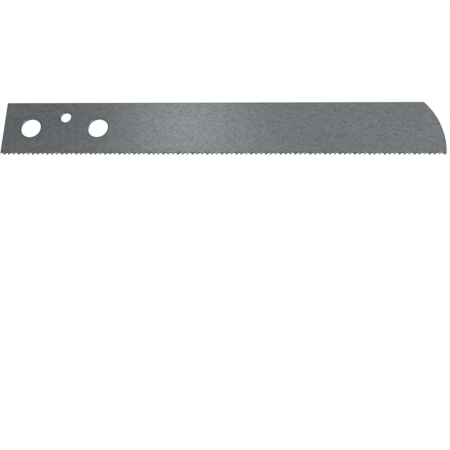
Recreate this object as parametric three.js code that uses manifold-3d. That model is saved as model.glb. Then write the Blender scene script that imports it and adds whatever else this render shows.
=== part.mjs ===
// A power-hacksaw blade. It is a tall strip of spring steel with two clamp holes and a
// small locating hole near its driven end, and a far end rounded to one large arc. A
// narrow strip of tool steel is welded along its lower side and carries the teeth.
//
// Millimetres. +X runs along the blade, away from the driven end. +Z runs up, towards the
// plain back edge. +Y runs through the thickness. The origin lies on the front face,
// midway between the two clamp holes.

import * as THREE from 'three';
import { mergeVertices } from 'three/addons/utils/BufferGeometryUtils.js';
import Module from 'manifold-3d';

// ---- Driving dimensions ----

const BLADE_LENGTH = 228;
const BLADE_HEIGHT = 28.5; // from the back edge to the tip of an unset tooth
const BLADE_THICKNESS = 1.25;

const HOLE_LINE_BELOW_BACK = 14;
const CLAMP_HOLE_SPACING = 35;
const CLAMP_HOLE_RADIUS = 5.1;
const HEEL_TO_CLAMP_HOLE = 14; // from the driven end to the nearer hole's centre
const LOCATING_HOLE_RADIUS = 2.7;
const LOCATING_HOLE_RISE = 5.9; // above the line through the clamp holes

const TIP_ARC_RADIUS = 41;
const TIP_ARC_DROP = 2.5; // from the tooth tips down to the arc's centre

const TOOTH_PITCH = 2.5;
const TOOTH_DEPTH = 1;
const GULLET_RADIUS = 0.6;
const FIRST_TOOTH_FROM_HEEL = 1.5;
const EDGE_ABOVE_GULLETS = 0.6; // tool steel left between the gullets and the weld
const WELD_HEIGHT = 0.4;

// Raker set: one tooth bent towards the back face, one towards the front, one straight.
const SET_PATTERN = [1, -1, 0];
const SET_ANGLE = THREE.MathUtils.degToRad(14);
const SET_BEND_DEPTH = 0.5; // the bend is spread over this depth below the gullets

// An arc gets twice as many straight steps as its segment count.
const HOLE_SEGMENTS = 24;
const GULLET_SEGMENTS = 2;
const SHORT_ARC_SEGMENTS = 1; // the low end of the tip arc, on the weld and the tooth edge

const STEEL_METALNESS = 0.9;
const BACKING_FINISH = { color: 0x73777a, roughness: 0.5 };
const WELD_FINISH = { color: 0x6b6f72, roughness: 0.6 };
const TOOTH_FINISH = { color: 0x7d8184, roughness: 0.4 };

// ---- Derived places ----

const HEEL_X = -CLAMP_HOLE_SPACING / 2 - HEEL_TO_CLAMP_HOLE;
const TIP_X = HEEL_X + BLADE_LENGTH;
const BACK_Z = HOLE_LINE_BELOW_BACK;
const TOOTH_TIP_Z = BACK_Z - BLADE_HEIGHT;
const GULLET_Z = TOOTH_TIP_Z + TOOTH_DEPTH;
const WELD_BOTTOM_Z = GULLET_Z + EDGE_ABOVE_GULLETS;
const WELD_TOP_Z = WELD_BOTTOM_Z + WELD_HEIGHT;
const ARC_CENTRE_Z = TOOTH_TIP_Z - TIP_ARC_DROP;
const ARC_CENTRE_X = TIP_X - Math.sqrt(TIP_ARC_RADIUS ** 2 - TIP_ARC_DROP ** 2);
const MID_THICKNESS = BLADE_THICKNESS / 2;

// The flank of a tooth runs from its tip, tangent to the next gullet's circle, whose
// centre lies GULLET_RUN along from the tip and GULLET_RISE above it.
const GULLET_RUN = TOOTH_PITCH - GULLET_RADIUS;
const GULLET_RISE = TOOTH_DEPTH - GULLET_RADIUS;
const GULLET_REACH = Math.hypot(GULLET_RUN, GULLET_RISE);
const FLANK_ANGLE = Math.atan2(GULLET_RISE, GULLET_RUN) + Math.asin(GULLET_RADIUS / GULLET_REACH);

// The trimming prism reaches past the set teeth by this much.
const TRIM_MARGIN = 2;

// ---- Solids ----

const wasm = await Module();
wasm.setup();

function toSolid(geometry) {
  const bare = geometry.clone();
  bare.deleteAttribute('normal');
  bare.deleteAttribute('uv');
  const merged = mergeVertices(bare);
  return new wasm.Manifold(
    new wasm.Mesh({
      numProp: 3,
      vertProperties: merged.attributes.position.array,
      triVerts: Uint32Array.from(merged.index.array),
    }),
  );
}

function toGeometry(solid) {
  const mesh = solid.getMesh();
  const geometry = new THREE.BufferGeometry();
  geometry.setAttribute('position', new THREE.BufferAttribute(mesh.vertProperties, 3));
  geometry.setIndex(new THREE.BufferAttribute(mesh.triVerts, 1));
  geometry.computeVertexNormals();
  return geometry;
}

// Extrudes a side outline, drawn in X and Z, from one depth in Y to another.
function extrudeThrough(shape, frontY, backY, curveSegments) {
  const geometry = new THREE.ExtrudeGeometry(shape, {
    depth: backY - frontY,
    bevelEnabled: false,
    curveSegments,
  });
  geometry.rotateX(Math.PI / 2);
  geometry.translate(0, backY, 0);
  return geometry;
}

// The blade's side outline between two heights: square at the driven end, and following
// the tip arc at the far end.
function bandShape(bottomZ, topZ) {
  const startAngle = Math.asin((bottomZ - ARC_CENTRE_Z) / TIP_ARC_RADIUS);
  const endAngle = Math.asin((topZ - ARC_CENTRE_Z) / TIP_ARC_RADIUS);
  const shape = new THREE.Shape();
  shape.moveTo(HEEL_X, topZ);
  shape.lineTo(HEEL_X, bottomZ);
  shape.absarc(ARC_CENTRE_X, ARC_CENTRE_Z, TIP_ARC_RADIUS, startAngle, endAngle, false);
  shape.closePath();
  return shape;
}

function holePath(x, z, radius) {
  const path = new THREE.Path();
  path.absarc(x, z, radius, 0, 2 * Math.PI, true);
  return path;
}

// ---- Backing strip ----

function backingStripGeometry() {
  const shape = bandShape(WELD_TOP_Z, BACK_Z);
  shape.holes.push(
    holePath(-CLAMP_HOLE_SPACING / 2, 0, CLAMP_HOLE_RADIUS),
    holePath(CLAMP_HOLE_SPACING / 2, 0, CLAMP_HOLE_RADIUS),
    holePath(0, LOCATING_HOLE_RISE, LOCATING_HOLE_RADIUS),
  );
  return extrudeThrough(shape, 0, BLADE_THICKNESS, HOLE_SEGMENTS);
}

// ---- Weld seam ----

function weldSeamGeometry() {
  const shape = bandShape(WELD_BOTTOM_Z, WELD_TOP_Z);
  return extrudeThrough(shape, 0, BLADE_THICKNESS, SHORT_ARC_SEGMENTS);
}

// ---- Tooth edge ----

// One tooth with the strip above it, from one gullet's deepest point to the next. The
// upright cutting face looks towards the driven end.
function toothShape(faceX) {
  const gulletX = faceX - GULLET_RADIUS;
  const nextGulletX = gulletX + TOOTH_PITCH;
  const centreZ = GULLET_Z - GULLET_RADIUS;
  const bendEndRise = TOOTH_DEPTH - SET_BEND_DEPTH;
  const up = Math.PI / 2;
  const shape = new THREE.Shape();
  shape.moveTo(gulletX, WELD_BOTTOM_Z);
  shape.lineTo(gulletX, GULLET_Z);
  shape.absarc(gulletX, centreZ, GULLET_RADIUS, up, 0, true);
  shape.lineTo(faceX, TOOTH_TIP_Z);
  shape.lineTo(faceX + bendEndRise / Math.tan(FLANK_ANGLE), TOOTH_TIP_Z + bendEndRise);
  shape.absarc(nextGulletX, centreZ, GULLET_RADIUS, up + FLANK_ANGLE, up, true);
  shape.lineTo(nextGulletX, WELD_BOTTOM_Z);
  shape.closePath();
  return shape;
}

// Bends a tooth sideways about its gullet line: a circular bend over SET_BEND_DEPTH, and
// straight on below it. Direction is 1 towards the back face, -1 towards the front.
function setTooth(geometry, direction) {
  const position = geometry.attributes.position;
  const bendRadius = SET_BEND_DEPTH / SET_ANGLE;
  for (let i = 0; i < position.count; i += 1) {
    const depth = Math.max(GULLET_Z - position.getZ(i), 0);
    const angle = Math.min(depth / bendRadius, SET_ANGLE);
    const straight = Math.max(depth - SET_BEND_DEPTH, 0);
    const sideways = bendRadius * (1 - Math.cos(angle)) + straight * Math.sin(angle);
    const down = bendRadius * Math.sin(angle) + straight * Math.cos(angle);
    const across = position.getY(i) - MID_THICKNESS;
    const y = MID_THICKNESS + direction * sideways + across * Math.cos(angle);
    const shift = depth - down + direction * across * Math.sin(angle);
    position.setY(i, y);
    position.setZ(i, position.getZ(i) + shift);
  }
}

function toothEdgeGeometry() {
  const firstFaceX = HEEL_X + FIRST_TOOTH_FROM_HEEL - TOOTH_PITCH;
  const count = Math.ceil((TIP_X - firstFaceX) / TOOTH_PITCH) + 1;
  const teeth = [];
  for (let i = 0; i < count; i += 1) {
    const shape = toothShape(firstFaceX + i * TOOTH_PITCH);
    const geometry = extrudeThrough(shape, 0, BLADE_THICKNESS, GULLET_SEGMENTS);
    const direction = SET_PATTERN[i % SET_PATTERN.length];
    if (direction !== 0) {
      setTooth(geometry, direction);
    }
    teeth.push(toSolid(geometry));
  }
  const row = teeth.reduce((joined, tooth) => joined.add(tooth));
  const outline = bandShape(TOOTH_TIP_Z - TRIM_MARGIN, WELD_BOTTOM_Z);
  const trimBackY = BLADE_THICKNESS + TRIM_MARGIN;
  const trim = toSolid(extrudeThrough(outline, -TRIM_MARGIN, trimBackY, SHORT_ARC_SEGMENTS));
  return toGeometry(row.intersect(trim));
}

// ---- Assembly ----

function namedMesh(name, geometry, finish) {
  const material = new THREE.MeshStandardMaterial({ ...finish, metalness: STEEL_METALNESS });
  const mesh = new THREE.Mesh(geometry, material);
  mesh.name = name;
  return mesh;
}

const blade = new THREE.Group();
blade.name = 'hacksaw_blade';
blade.add(
  namedMesh('backing_strip', backingStripGeometry(), BACKING_FINISH),
  namedMesh('weld_seam', weldSeamGeometry(), WELD_FINISH),
  namedMesh('tooth_edge', toothEdgeGeometry(), TOOTH_FINISH),
);

export default blade;
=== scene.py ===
import math

import bmesh
import bpy
from mathutils import Matrix, Vector
from mathutils.geometry import tessellate_polygon


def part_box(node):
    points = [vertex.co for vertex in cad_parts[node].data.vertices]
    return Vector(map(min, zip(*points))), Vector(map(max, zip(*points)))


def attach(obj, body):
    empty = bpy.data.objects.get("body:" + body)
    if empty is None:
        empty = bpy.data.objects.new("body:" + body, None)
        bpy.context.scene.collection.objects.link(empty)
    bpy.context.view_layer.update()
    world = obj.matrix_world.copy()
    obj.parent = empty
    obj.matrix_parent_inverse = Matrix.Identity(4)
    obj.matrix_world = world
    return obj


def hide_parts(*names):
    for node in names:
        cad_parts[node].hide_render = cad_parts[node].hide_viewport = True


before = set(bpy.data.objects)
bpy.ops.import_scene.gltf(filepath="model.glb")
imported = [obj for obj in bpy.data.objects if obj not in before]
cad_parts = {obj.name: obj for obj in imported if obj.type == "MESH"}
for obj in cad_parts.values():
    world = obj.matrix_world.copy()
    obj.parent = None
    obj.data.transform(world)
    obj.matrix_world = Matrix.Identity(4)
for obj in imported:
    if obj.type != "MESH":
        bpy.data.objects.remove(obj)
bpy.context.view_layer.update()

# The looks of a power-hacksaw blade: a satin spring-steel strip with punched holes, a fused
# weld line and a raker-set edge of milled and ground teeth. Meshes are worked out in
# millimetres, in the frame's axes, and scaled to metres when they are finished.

# ---- Sizes in millimetres ----

MM = 0.001
backing_low, backing_high = (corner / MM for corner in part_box("backing_strip"))
weld_low, weld_high = (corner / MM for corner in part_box("weld_seam"))

HEEL_X = backing_low.x
BACK_Z = backing_high.z
THICKNESS = backing_high.y
WELD_TOP_Z = weld_high.z
WELD_BOTTOM_Z = weld_low.z

TOOTH_PITCH = 2.5
TOOTH_DEPTH = 1
TIP_LAND = 0.4  # the blunt end of a tooth
GULLET_RADIUS = 0.6
EDGE_ABOVE_GULLETS = 0.6
FIRST_TOOTH_FROM_HEEL = 1.5
SET_PATTERN = (1, -1, 0)  # towards the back face, towards the front face, straight
SET_ANGLE = math.radians(14)
SET_BEND_DEPTH = 0.5
SET_BEND_RADIUS = SET_BEND_DEPTH / SET_ANGLE

GULLET_Z = WELD_BOTTOM_Z - EDGE_ABOVE_GULLETS
TOOTH_TIP_Z = GULLET_Z - TOOTH_DEPTH
FIRST_FACE_X = HEEL_X + FIRST_TOOTH_FROM_HEEL - TOOTH_PITCH
FIRST_GULLET_X = FIRST_FACE_X - GULLET_RADIUS

# A flank runs from the tip's land, tangent to the next gullet's circle.
GULLET_RUN = TOOTH_PITCH - GULLET_RADIUS - TIP_LAND
GULLET_RISE = TOOTH_DEPTH - GULLET_RADIUS
GULLET_REACH = math.hypot(GULLET_RUN, GULLET_RISE)
FLANK_ANGLE = math.atan2(GULLET_RISE, GULLET_RUN) + math.asin(GULLET_RADIUS / GULLET_REACH)
FLANK_START_DEPTH = GULLET_RADIUS * (1 - math.cos(FLANK_ANGLE))  # where it leaves that circle

TIP_ARC_RADIUS = 41
TIP_ARC_DROP = 2.5
ARC_CENTRE_Z = TOOTH_TIP_Z - TIP_ARC_DROP
ARC_CENTRE_X = backing_high.x - math.sqrt(TIP_ARC_RADIUS**2 - (WELD_TOP_Z - ARC_CENTRE_Z) ** 2)

CLAMP_HOLE_RADIUS = 5.1
CLAMP_HOLE_X = 17.5
LOCATING_HOLE_RADIUS = 2.7
LOCATING_HOLE_Z = 5.9
HOLES = (
    (-CLAMP_HOLE_X, 0, CLAMP_HOLE_RADIUS),
    (CLAMP_HOLE_X, 0, CLAMP_HOLE_RADIUS),
    (0, LOCATING_HOLE_Z, LOCATING_HOLE_RADIUS),
)

HEEL_CORNER_RADIUS = 0.35
EDGE_ROUND = 0.08  # the broken edges of the strip
BROKEN_EDGE = (EDGE_ROUND, EDGE_ROUND)  # width and depth of a rounding
PUNCH_ENTRY = (0.6, 0.25)  # where the punch drew the steel in, on the front face
PUNCH_EXIT = (0.12, 0.12)
TOOTH_EDGE_BREAK = 0.02
WELD_RECESS = 0.025
WELD_SECTION = ((0, 0), (0.12, 0), (0.3, 1), (0.7, 1), (0.88, 0), (1, 0))  # shares of height and recess

# How finely each curve is stepped.
ARC_STEPS = 72
HOLE_STEPS = 96
CORNER_STEPS = 6
ROUND_STEPS = 6
GULLET_STEPS = 9
TOOTH_STEPS = 5  # down the straight part of a tooth
TOOTH_COLUMNS = 4  # along a tooth
BREAK_STEPS = 2

SMOOTH_LIMIT = math.radians(38)  # a sharper edge than this keeps a crease
SHARP_LIMIT = math.radians(50)  # a sharper tooth edge than this is broken
MERGE_DISTANCE = 1e-4
LEVEL_TOLERANCE = 1e-3


# ---- Shape helpers ----

def tip_x(z):
    """Where the far end lies at a height."""
    return ARC_CENTRE_X + math.sqrt(TIP_ARC_RADIUS**2 - (z - ARC_CENTRE_Z) ** 2)


def arc_points(centre, radius, start, end, steps):
    """Points in X and Z along an arc, both ends included."""
    angles = (start + (end - start) * i / steps for i in range(steps + 1))
    return [Vector((centre[0] + radius * math.cos(a), centre[1] + radius * math.sin(a))) for a in angles]


def strip_outline(bottom_z):
    """The strip's side outline, anticlockwise seen from the front, down to a height."""
    start = math.asin((bottom_z - ARC_CENTRE_Z) / TIP_ARC_RADIUS)
    end = math.asin((BACK_Z - ARC_CENTRE_Z) / TIP_ARC_RADIUS)
    tip = arc_points((ARC_CENTRE_X, ARC_CENTRE_Z), TIP_ARC_RADIUS, start, end, ARC_STEPS)
    corner_centre = (HEEL_X + HEEL_CORNER_RADIUS, BACK_Z - HEEL_CORNER_RADIUS)
    corner = arc_points(corner_centre, HEEL_CORNER_RADIUS, math.pi / 2, math.pi, CORNER_STEPS)
    return tip + corner + [Vector((HEEL_X, bottom_z))]


def hole_outline(x, z, radius):
    """A hole's outline, clockwise seen from the front."""
    return arc_points((x, z), radius, 2 * math.pi, 0, HOLE_STEPS)[:-1]


def moved_into_steel(points, distance):
    """Moves a closed outline sideways, to the left of its direction."""
    moved = []
    for i, point in enumerate(points):
        before = (point - points[i - 1]).normalized()
        after = (points[(i + 1) % len(points)] - point).normalized()
        left = Vector((-before.y, before.x))
        mean = Vector((-before.y - after.y, before.x + after.x)).normalized()
        moved.append(point + mean * (distance / mean.dot(left)))
    return moved


def edge_section(front_round, back_round):
    """(distance in from the outline, y) from the front face, round the edge, to the back face.
    A rounding is a width and a depth."""
    angles = [math.pi / 2 * i / ROUND_STEPS for i in range(ROUND_STEPS + 1)]
    turns = [(1 - math.sin(a), 1 - math.cos(a)) for a in angles]
    front = [(front_round[0] * across, front_round[1] * down) for across, down in turns]
    back = [(back_round[0] * across, THICKNESS - back_round[1] * down) for across, down in turns]
    return front + back[::-1]


def add_face_triangles(bm, rings, flip):
    """Fills a flat face between the outer ring and the hole rings."""
    verts = [vert for ring in rings for vert in ring]
    outlines = [[Vector((vert.co.x, vert.co.z, 0)) for vert in ring] for ring in rings]
    for a, b, c in tessellate_polygon(outlines):
        corners = [verts[a], verts[b], verts[c]]
        side = (corners[1].co - corners[0].co).cross(corners[2].co - corners[0].co).y
        if (side > 0) != flip:
            corners.reverse()
        bm.faces.new(corners)


def cut_and_cap(bm, point, normal):
    """Cuts off what lies on the normal's side of a plane, and closes the cut."""
    everything = bm.verts[:] + bm.edges[:] + bm.faces[:]
    cut = bmesh.ops.bisect_plane(
        bm, geom=everything, plane_co=point, plane_no=normal, clear_outer=True
    )
    edges = [e for e in cut["geom_cut"] if isinstance(e, bmesh.types.BMEdge)]
    return bmesh.ops.edgenet_fill(bm, edges=edges)["faces"]


def linked_object(name, data):
    """A new object in the scene."""
    made = bpy.data.objects.new(name, data)
    bpy.context.scene.collection.objects.link(made)
    return made


def finished_piece(name, bm, node, materials):
    """Turns a bmesh in millimetres into a smooth-shaded piece that stands for a CAD node."""
    bmesh.ops.recalc_face_normals(bm, faces=bm.faces[:])
    mesh = bpy.data.meshes.new(name)
    bm.to_mesh(mesh)
    bm.free()
    mesh.transform(Matrix.Scale(MM, 4))
    for material in materials:
        mesh.materials.append(material)
    mesh.polygons.foreach_set("use_smooth", [True] * len(mesh.polygons))
    mesh.set_sharp_from_angle(angle=SMOOTH_LIMIT)
    piece = linked_object(name, mesh)
    shading = piece.modifiers.new("even shading", "WEIGHTED_NORMAL")
    shading.keep_sharp = True
    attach(piece, "root")
    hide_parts(node)
    return piece


# ---- Pieces ----

SATIN, SHEARED, PUNCHED, DRAWN = 0, 1, 2, 3  # the strip's material slots


def spring_steel_back(materials):
    """The tall strip, with broken edges and punched holes, cut off where the weld starts."""
    bm = bmesh.new()
    outer = strip_outline(TOOTH_TIP_Z)
    loops = [(outer, BROKEN_EDGE, BROKEN_EDGE, SHEARED, SATIN)]
    for hole in HOLES:
        loops.append((hole_outline(*hole), PUNCH_ENTRY, PUNCH_EXIT, PUNCHED, DRAWN))
    front_rings = []
    back_rings = []
    for points, front_round, back_round, wall_slot, round_slot in loops:
        rings = []
        for distance, y in edge_section(front_round, back_round):
            places = moved_into_steel(points, distance)
            rings.append([bm.verts.new((place.x, y, place.y)) for place in places])
        for strip, (near, far) in enumerate(zip(rings, rings[1:])):
            for i in range(len(near)):
                face = bm.faces.new((near[i - 1], far[i - 1], far[i], near[i]))
                face.material_index = wall_slot if strip == ROUND_STEPS else round_slot
        front_rings.append(rings[0])
        back_rings.append(rings[-1])
    add_face_triangles(bm, front_rings, flip=False)
    add_face_triangles(bm, back_rings, flip=True)
    cut_and_cap(bm, (0, 0, WELD_TOP_Z), (0, 0, -1))
    return finished_piece("spring_steel_back", bm, "backing_strip", materials)


def plan_loop(z, recess):
    """A round-cornered loop about the strip at a height, anticlockwise seen from above."""
    corners = (
        (tip_x(z) - EDGE_ROUND, THICKNESS - EDGE_ROUND),
        (HEEL_X + EDGE_ROUND, THICKNESS - EDGE_ROUND),
        (HEEL_X + EDGE_ROUND, EDGE_ROUND),
        (tip_x(z) - EDGE_ROUND, EDGE_ROUND),
    )
    points = []
    for quarter, corner in enumerate(corners):
        start = quarter * math.pi / 2
        for point in arc_points(corner, EDGE_ROUND, start, start + math.pi / 2, ROUND_STEPS):
            across = min(max(point.y, recess), THICKNESS - recess)
            points.append((point.x, across, z))
    return points


def weld_bead(materials):
    """The narrow fused zone, dressed almost flush with the steels above and below it."""
    bm = bmesh.new()
    rings = []
    for share, depth in WELD_SECTION:
        z = WELD_BOTTOM_Z + share * (WELD_TOP_Z - WELD_BOTTOM_Z)
        rings.append([bm.verts.new(point) for point in plan_loop(z, depth * WELD_RECESS)])
    for low, high in zip(rings, rings[1:]):
        for i in range(len(low)):
            bm.faces.new((low[i - 1], low[i], high[i], high[i - 1]))
    bm.faces.new(rings[0][::-1])
    bm.faces.new(rings[-1])
    return finished_piece("weld_bead", bm, "weld_seam", materials)


def tooth_rows(face_x):
    """(z, left x, right x) down one tooth, from the weld to the tip. Left is the upright
    cutting face, and right is the flank that runs up into the next gullet."""
    gullet_x = face_x - GULLET_RADIUS
    next_gullet_x = gullet_x + TOOTH_PITCH
    rows = [(z, gullet_x, next_gullet_x) for z in (WELD_BOTTOM_Z, (WELD_BOTTOM_Z + GULLET_Z) / 2)]
    turns = [math.pi / 2 * i / GULLET_STEPS for i in range(GULLET_STEPS + 1)]
    depths = [GULLET_RADIUS * (1 - math.cos(turn)) for turn in turns]
    depths += [GULLET_RADIUS + GULLET_RISE * (i + 1) / TOOTH_STEPS for i in range(TOOTH_STEPS)]
    for depth in depths:
        sideways = math.sqrt(max(GULLET_RADIUS**2 - (GULLET_RADIUS - depth) ** 2, 0))
        left = gullet_x + (sideways if depth < GULLET_RADIUS else GULLET_RADIUS)
        right = face_x + TIP_LAND + (TOOTH_DEPTH - depth) / math.tan(FLANK_ANGLE)
        if depth < FLANK_START_DEPTH:
            right = next_gullet_x - sideways
        rows.append((GULLET_Z - depth, left, right))
    return rows


SIDE, GULLET, FLANK = 0, 1, 2  # the tooth edge's material slots


def add_tooth(bm, face_x):
    """One tooth and the strip above it, straight, open to its neighbours on both sides."""
    def line(z, left, right, y):
        spread = (left + (right - left) * i / TOOTH_COLUMNS for i in range(TOOTH_COLUMNS + 1))
        return [bm.verts.new((x, y, z)) for x in spread]

    def face(slot, *corners):
        bm.faces.new(corners).material_index = slot

    rows = tooth_rows(face_x)
    front = [line(*row, 0) for row in rows]
    back = [line(*row, THICKNESS) for row in rows]
    for i in range(TOOTH_COLUMNS):
        face(SIDE, front[0][i], front[0][i + 1], back[0][i + 1], back[0][i])
        face(FLANK, front[-1][i], back[-1][i], back[-1][i + 1], front[-1][i + 1])
        for j in range(len(rows) - 1):
            face(SIDE, front[j][i], front[j + 1][i], front[j + 1][i + 1], front[j][i + 1])
            face(SIDE, back[j][i], back[j][i + 1], back[j + 1][i + 1], back[j + 1][i])
    for j, (z, _, _) in enumerate(rows[:-1]):
        if z > GULLET_Z:
            continue
        face(GULLET, front[j][0], back[j][0], back[j + 1][0], front[j + 1][0])
        flank_slot = FLANK if z < GULLET_Z - FLANK_START_DEPTH else GULLET
        face(flank_slot, front[j][-1], front[j + 1][-1], back[j + 1][-1], back[j][-1])


def bend_tooth_point(vert):
    """Bends a point of its tooth sideways about the gullet line, as the setting tool does."""
    tooth = math.floor((vert.co.x - FIRST_GULLET_X) / TOOTH_PITCH)
    direction = SET_PATTERN[tooth % len(SET_PATTERN)]
    depth = max(GULLET_Z - vert.co.z, 0)
    if direction == 0 or depth == 0:
        return
    angle = min(depth / SET_BEND_RADIUS, SET_ANGLE)
    straight = max(depth - SET_BEND_DEPTH, 0)
    sideways = SET_BEND_RADIUS * (1 - math.cos(angle)) + straight * math.sin(angle)
    down = SET_BEND_RADIUS * math.sin(angle) + straight * math.cos(angle)
    across = vert.co.y - THICKNESS / 2
    vert.co.y = THICKNESS / 2 + direction * sideways + across * math.cos(angle)
    vert.co.z += depth - down + direction * across * math.sin(angle)


def set_teeth(materials):
    """The whole row of teeth: milled, trimmed to the strip's ends, edges broken, then set."""
    bm = bmesh.new()
    tip = Vector((tip_x(TOOTH_TIP_Z), 0, TOOTH_TIP_Z))
    top = Vector((tip_x(WELD_BOTTOM_Z), 0, WELD_BOTTOM_Z))
    count = math.ceil((tip.x - FIRST_FACE_X) / TOOTH_PITCH) + 1
    for i in range(count):
        add_tooth(bm, FIRST_FACE_X + i * TOOTH_PITCH)
    bmesh.ops.remove_doubles(bm, verts=bm.verts[:], dist=MERGE_DISTANCE)
    slope = tip - top
    caps = cut_and_cap(bm, (HEEL_X, 0, 0), (-1, 0, 0))
    caps += cut_and_cap(bm, top, (-slope.z, 0, slope.x))
    for cap in caps:
        cap.material_index = SIDE
    bmesh.ops.poke(bm, faces=caps)  # so that the cut ends hold no sliver
    bmesh.ops.recalc_face_normals(bm, faces=bm.faces[:])
    below_weld = [e for e in bm.edges if min(v.co.z for v in e.verts) < WELD_BOTTOM_Z - LEVEL_TOLERANCE]
    sharp = [e for e in below_weld if e.calc_face_angle(0) > SHARP_LIMIT]
    bmesh.ops.bevel(
        bm, geom=sharp, offset=TOOTH_EDGE_BREAK, offset_type="OFFSET", segments=BREAK_STEPS,
        profile=0.5, affect="EDGES", clamp_overlap=True, material=-1,
    )
    for vert in bm.verts:
        bend_tooth_point(vert)
    return finished_piece("set_teeth", bm, "tooth_edge", materials)


# ---- Materials, with their lengths in millimetres ----

COOL_TINT = (0.935, 1, 1.04)
NOISE_RANGE = (0.34, 0.66)  # most of a noise's values lie between these
SATIN_CONTRAST = 0.4
ROLLING_RANGE = (0.52, 0.78)  # only the highest noise makes a rolling line
ROLLING_SHARE = 0.15
EDGE_DARK_RAGGEDNESS = 0.4
EDGE_DARK_RANGE = (-0.1, 0.6)  # from full darkening, next to an edge, to none
EDGE_DARK_LEVEL = 0.4
CLOUDY_ROUGHNESS = 0.08
BURNISH_RAGGEDNESS = 0.5
TORN_CONTRAST = 0.3
TEAR_RANGE = (0.15, 0.35)  # how far past the burnished band the tearing starts and is complete
BURNISHED_ROUGHNESS = 0.34
TORN_ROUGHNESS = 0.62
RIPPLE_LENGTH = 0.3
RIPPLE_SHARE = 0.02
WELD_CONTRAST = 0.34
TOOL_MARK_RANGE = (0.35, 0.65)

MIX_SHARE, MIX_FIRST, MIX_SECOND, MIX_RESULT = 0, 6, 7, 2  # a colour Mix node's sockets


def steel(level):
    """A cool steel grey whose green is the level."""
    return (*(level * tint for tint in COOL_TINT), 1.0)


class Shader:
    """A node material with a few short ways to add nodes. Patterns are in millimetres."""

    def __init__(self, name):
        self.material = bpy.data.materials.new(name)
        self.material.use_nodes = True
        self.tree = self.material.node_tree
        self.surface = self.tree.nodes["Principled BSDF"]
        place = self.tree.nodes.new("ShaderNodeTexCoord").outputs["Object"]
        self.place = self.vector("SCALE", place, Scale=1 / MM)

    def give(self, socket, value):
        if isinstance(value, bpy.types.NodeSocket):
            self.tree.links.new(value, socket)
        else:
            socket.default_value = value

    def math(self, operation, *values):
        node = self.tree.nodes.new("ShaderNodeMath")
        node.operation = operation
        for socket, value in zip(node.inputs, values):
            self.give(socket, value)
        return node.outputs[0]

    def vector(self, operation, *values, **named):
        node = self.tree.nodes.new("ShaderNodeVectorMath")
        node.operation = operation
        for socket, value in zip(node.inputs, values):
            self.give(socket, value)
        for name, value in named.items():
            self.give(node.inputs[name], value)
        return node.outputs["Value" if operation == "DISTANCE" else "Vector"]

    def axes(self, vector):
        node = self.tree.nodes.new("ShaderNodeSeparateXYZ")
        self.give(node.inputs[0], vector)
        return node.outputs

    def noise(self, size, detail, seed, stretch=(1, 1, 1)):
        """Noise whose features are about size across, longer along the stretched axes."""
        scaled = self.vector("DIVIDE", self.place, tuple(size * s for s in stretch))
        shifted = self.vector("ADD", scaled, (seed, seed, seed))
        node = self.tree.nodes.new("ShaderNodeTexNoise")
        self.give(node.inputs["Vector"], shifted)
        node.inputs["Scale"].default_value = 1.0
        node.inputs["Detail"].default_value = detail
        return node.outputs["Fac"]

    def remap(self, value, low, high, to_low=0.0, to_high=1.0):
        node = self.tree.nodes.new("ShaderNodeMapRange")
        for socket, given in zip(node.inputs, (value, low, high, to_low, to_high)):
            self.give(socket, given)
        return node.outputs[0]

    def mix(self, share, first, second):
        node = self.tree.nodes.new("ShaderNodeMix")
        node.data_type = "RGBA"
        self.give(node.inputs[MIX_SHARE], share)
        self.give(node.inputs[MIX_FIRST], first)
        self.give(node.inputs[MIX_SECOND], second)
        return node.outputs[MIX_RESULT]

    def weighted(self, *parts):
        """The sum of patterns, each times its weight."""
        (first, weight), *others = parts
        total = self.math("MULTIPLY", first, weight)
        for pattern, weight in others:
            total = self.math("MULTIPLY_ADD", pattern, weight, total)
        return total

    def tones(self, share, level, contrast):
        """Steel from below a level to above it, as the share goes from 0 to 1."""
        return self.mix(share, steel(level * (1 - contrast)), steel(level * (1 + contrast)))

    def around(self, middle, pattern, spread):
        """A value that follows a pattern about a middle."""
        return self.math("MULTIPLY_ADD", pattern, spread, middle - spread / 2)

    def edge_distance(self):
        """How far a point of the side faces lies from the strip's plain edges and holes."""
        flat = self.vector("MULTIPLY", self.place, (1, 0, 1))
        axes = self.axes(flat)
        distance = self.math("SUBTRACT", BACK_Z, axes["Z"])
        from_heel = self.math("SUBTRACT", axes["X"], HEEL_X)
        distance = self.math("MINIMUM", distance, from_heel)
        past_arc_centre = self.vector("MAXIMUM", flat, (ARC_CENTRE_X, 0, WELD_BOTTOM_Z))
        from_arc_centre = self.vector("DISTANCE", past_arc_centre, (ARC_CENTRE_X, 0, ARC_CENTRE_Z))
        from_tip = self.math("SUBTRACT", TIP_ARC_RADIUS, from_arc_centre)
        distance = self.math("MINIMUM", distance, from_tip)
        for x, z, radius in HOLES:
            from_centre = self.vector("DISTANCE", flat, (x, 0, z))
            distance = self.math("MINIMUM", distance, self.math("SUBTRACT", from_centre, radius))
        return distance

    def bump(self, height, strength, distance_mm, below=None):
        node = self.tree.nodes.new("ShaderNodeBump")
        node.inputs["Strength"].default_value = strength
        node.inputs["Distance"].default_value = distance_mm * MM
        self.give(node.inputs["Height"], height)
        if below is not None:
            self.give(node.inputs["Normal"], below)
        return node.outputs["Normal"]

    def finish(self, color, roughness, normal):
        self.give(self.surface.inputs["Base Color"], color)
        self.give(self.surface.inputs["Roughness"], roughness)
        self.give(self.surface.inputs["Normal"], normal)
        self.surface.inputs["Metallic"].default_value = 1.0
        return self.material


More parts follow.
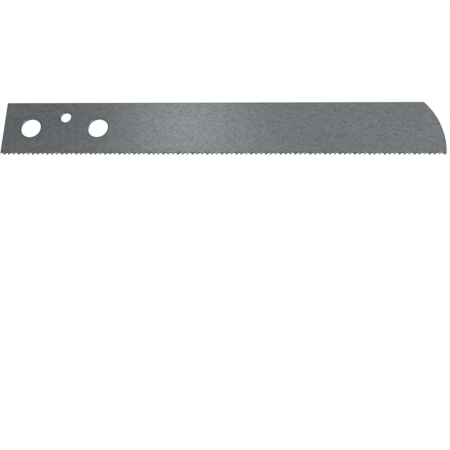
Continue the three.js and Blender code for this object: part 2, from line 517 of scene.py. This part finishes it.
def satin_steel(name, level, roughness, rim):
    """Hardened and lightly oiled steel: cloudy temper tone, fine grain and faint rolling lines
    along the blade, and a little darker towards the strip's edges and holes."""
    shader = Shader(name)
    clouds = shader.noise(size=26, stretch=(2, 1, 1), detail=3, seed=3.1)
    mottle = shader.noise(size=1.6, detail=2, seed=7.7)
    grit = shader.noise(size=0.5, stretch=(3, 1, 1), detail=2, seed=9.4)
    grain = shader.noise(size=0.2, stretch=(2, 1, 1), detail=2, seed=1.3)
    rolling = shader.noise(size=0.5, stretch=(60, 1, 1), detail=2, seed=5.9)

    tone = shader.weighted((grit, 0.4), (grain, 0.5), (mottle, 0.05), (clouds, 0.05))
    color = shader.tones(shader.remap(tone, *NOISE_RANGE), level, SATIN_CONTRAST)
    lines = shader.remap(rolling, *ROLLING_RANGE, to_high=ROLLING_SHARE)
    color = shader.mix(lines, color, steel(level * (1 + SATIN_CONTRAST)))

    # Darker towards the strip's edges and holes, with a ragged border.
    ragged = shader.math("MULTIPLY_ADD", mottle, -EDGE_DARK_RAGGEDNESS, shader.edge_distance())
    edge_dark = shader.remap(ragged, *EDGE_DARK_RANGE, to_low=rim, to_high=0.0)
    color = shader.mix(edge_dark, color, steel(level * EDGE_DARK_LEVEL))

    rough = shader.around(roughness, grain, spread=0.16)
    rough = shader.math("MULTIPLY_ADD", clouds, CLOUDY_ROUGHNESS, rough)
    normal = shader.bump(rolling, strength=0.1, distance_mm=0.01)
    normal = shader.bump(grain, strength=0.3, distance_mm=0.02, below=normal)
    return shader.finish(color, rough, normal)


def cut_wall_steel(name, burnished, torn, burnish_depth):
    """The walls left by a shear or a punch: a burnished band next to the front face, then
    the duller torn steel behind it."""
    shader = Shader(name)
    ragged = shader.noise(size=0.5, detail=3, seed=6.3)
    tear = shader.noise(size=0.16, stretch=(1, 3, 1), detail=3, seed=2.9)
    depth = shader.axes(shader.place)["Y"]
    from_front = shader.math("MULTIPLY_ADD", ragged, BURNISH_RAGGEDNESS, depth)
    torn_share = shader.remap(from_front, *(burnish_depth + past for past in TEAR_RANGE))
    color = shader.mix(torn_share, steel(burnished), shader.tones(tear, torn, TORN_CONTRAST))
    rough = shader.remap(torn_share, 0.0, 1.0, BURNISHED_ROUGHNESS, TORN_ROUGHNESS)
    return shader.finish(color, rough, shader.bump(tear, strength=0.5, distance_mm=0.03))


def weld_steel(name, level, roughness):
    """The weld line: slightly darker, with the small even ripples of the beam."""
    shader = Shader(name)
    wander = shader.noise(size=1.2, detail=2, seed=2.2)
    along = shader.axes(shader.place)["X"]
    ripple = shader.math("SINE", shader.math("MULTIPLY_ADD", along, 2 * math.pi / RIPPLE_LENGTH, wander))
    grain = shader.noise(size=0.26, detail=2, seed=1.3)
    tone = shader.math("MULTIPLY_ADD", ripple, RIPPLE_SHARE, grain)
    color = shader.tones(shader.remap(tone, *NOISE_RANGE), level, WELD_CONTRAST)
    rough = shader.around(roughness, grain, spread=0.14)
    return shader.finish(color, rough, shader.bump(tone, strength=0.2, distance_mm=0.015))


def milled_steel(name, level, roughness, contrast):
    """Milled gullets, ground flanks and drawn-in rims: fine marks that run straight through
    the thickness."""
    shader = Shader(name)
    marks = shader.noise(size=0.07, stretch=(1, 40, 1), detail=3, seed=4.6)
    broad = shader.noise(size=0.5, stretch=(1, 8, 1), detail=2, seed=8.2)
    tone = shader.weighted((broad, 0.4), (marks, 0.6))
    color = shader.tones(shader.remap(tone, *TOOL_MARK_RANGE), level, contrast)
    rough = shader.around(roughness, marks, spread=0.2)
    return shader.finish(color, rough, shader.bump(marks, strength=0.25, distance_mm=0.01))


# ---- Stage, light and camera, in metres ----

CAMERA_AZIMUTH = math.radians(16.24)
CAMERA_ELEVATION = math.radians(-25.17)
CAMERA_ROLL = math.radians(7.29)
CAMERA_DISTANCE = 2.28
CAMERA_LENS = 372
CAMERA_CLIP_END = 100
AIM = Vector((0.0895, 0, -0.0538))  # below mid-blade, so that the blade lies high in the picture

WHITE = (1, 1, 1, 1)
FLOOR_Z = -1.5  # well below the camera, which looks up at the blade
FLOOR_HALF = 300
FLOOR_COLOR = (0.86, 0.86, 0.86, 1)
FLOOR_ROUGHNESS = 0.9
FLOOR_GLOW = 0.4
ROOM_COLOR = (0.96, 0.98, 1.0, 1)
ROOM_STRENGTH = 0.29

# Each softbox's name, place, the point that it faces, width and height, and watts.
SOFTBOXES = (
    ("key", (0.042, -0.084, 0.037), (0.067, 0, 0), (0.04, 0.04), 0.0085),
    ("side", (0.17, -0.264, 0.118), (0.25, 0, 0), (0.2, 0.2), 0.042),
    ("low", (0.36, -0.4, -0.22), (0.03, 0, 0), (0.25, 0.25), 1.7),
    ("behind", (0.16, 1.2, -0.08), (0.08, 0, -0.01), (0.3, 0.15), 0.5),
    ("back", (0.6, 1.4, 0.5), (0.08, 0, 0), (1.0, 1.0), 3),
    ("rear", (0.53, 0.41, -0.155), (0.12, 0, 0), (0.2, 0.2), 0.18),
)


def add_camera():
    data = bpy.data.cameras.new("photo_view")
    data.lens = CAMERA_LENS
    data.clip_end = CAMERA_CLIP_END
    camera = linked_object(data.name, data)
    level = math.cos(CAMERA_ELEVATION)
    back = Vector((
        math.sin(CAMERA_AZIMUTH) * level,
        -math.cos(CAMERA_AZIMUTH) * level,
        math.sin(CAMERA_ELEVATION),
    ))
    turn = (-back).to_track_quat("-Z", "Y").to_matrix()
    roll = Matrix.Rotation(CAMERA_ROLL, 3, "Z")
    camera.matrix_world = Matrix.Translation(AIM + back * CAMERA_DISTANCE) @ (turn @ roll).to_4x4()
    bpy.context.scene.camera = camera


def add_floor():
    mesh = bpy.data.meshes.new("floor")
    sides = ((-1, -1), (1, -1), (1, 1), (-1, 1))
    corners = [(x * FLOOR_HALF, y * FLOOR_HALF, FLOOR_Z) for x, y in sides]
    mesh.from_pydata(corners, [], [range(len(corners))])
    material = bpy.data.materials.new("floor")
    material.use_nodes = True
    surface = material.node_tree.nodes["Principled BSDF"]
    surface.inputs["Base Color"].default_value = FLOOR_COLOR
    surface.inputs["Roughness"].default_value = FLOOR_ROUGHNESS
    surface.inputs["Emission Color"].default_value = WHITE
    surface.inputs["Emission Strength"].default_value = FLOOR_GLOW
    mesh.materials.append(material)
    floor = linked_object("floor", mesh)


def add_softbox(name, place, target, size, watts):
    data = bpy.data.lights.new(name, "AREA")
    data.shape = "RECTANGLE"
    data.size, data.size_y = size
    data.energy = watts
    light = linked_object(name, data)
    light.visible_camera = False
    aim = Vector(target) - Vector(place)
    light.matrix_world = Matrix.Translation(place) @ aim.to_track_quat("-Z", "Y").to_matrix().to_4x4()


def add_world():
    """White behind the blade, and a quieter grey room for what the steel reflects."""
    world = bpy.data.worlds.new("studio")
    world.use_nodes = True
    bpy.context.scene.world = world
    nodes, links = world.node_tree.nodes, world.node_tree.links
    seen = nodes.new("ShaderNodeLightPath")
    room = nodes["Background"]
    room.inputs["Color"].default_value = ROOM_COLOR
    room.inputs["Strength"].default_value = ROOM_STRENGTH
    backdrop = nodes.new("ShaderNodeBackground")
    backdrop.inputs["Color"].default_value = WHITE
    mixed = nodes.new("ShaderNodeMixShader")
    links.new(seen.outputs["Is Camera Ray"], mixed.inputs[0])
    links.new(room.outputs[0], mixed.inputs[1])
    links.new(backdrop.outputs[0], mixed.inputs[2])
    links.new(mixed.outputs[0], nodes["World Output"].inputs["Surface"])


add_camera()
add_world()
add_floor()
for softbox in SOFTBOXES:
    add_softbox(*softbox)
bpy.context.scene.view_settings.view_transform = "Standard"

spring_steel_back([
    satin_steel("satin_spring_steel", level=0.34, roughness=0.44, rim=0.5),
    cut_wall_steel("sheared_edges", burnished=0.3, torn=0.2, burnish_depth=0.6),
    cut_wall_steel("punched_walls", burnished=0.16, torn=0.07, burnish_depth=0.35),
    milled_steel("drawn_in_rims", level=0.24, roughness=0.31, contrast=0.2),
])
weld_bead([weld_steel("fused_weld", level=0.33, roughness=0.46)])
set_teeth([
    satin_steel("satin_tool_steel", level=0.35, roughness=0.43, rim=0.5),
    # The gullets' near-black colour is painted shade, standing for the shadow inside each gullet.
    milled_steel("milled_gullets_painted_shade", level=0.01, roughness=0.6, contrast=0.4),
    milled_steel("ground_flanks", level=0.2, roughness=0.3, contrast=0.2),
])
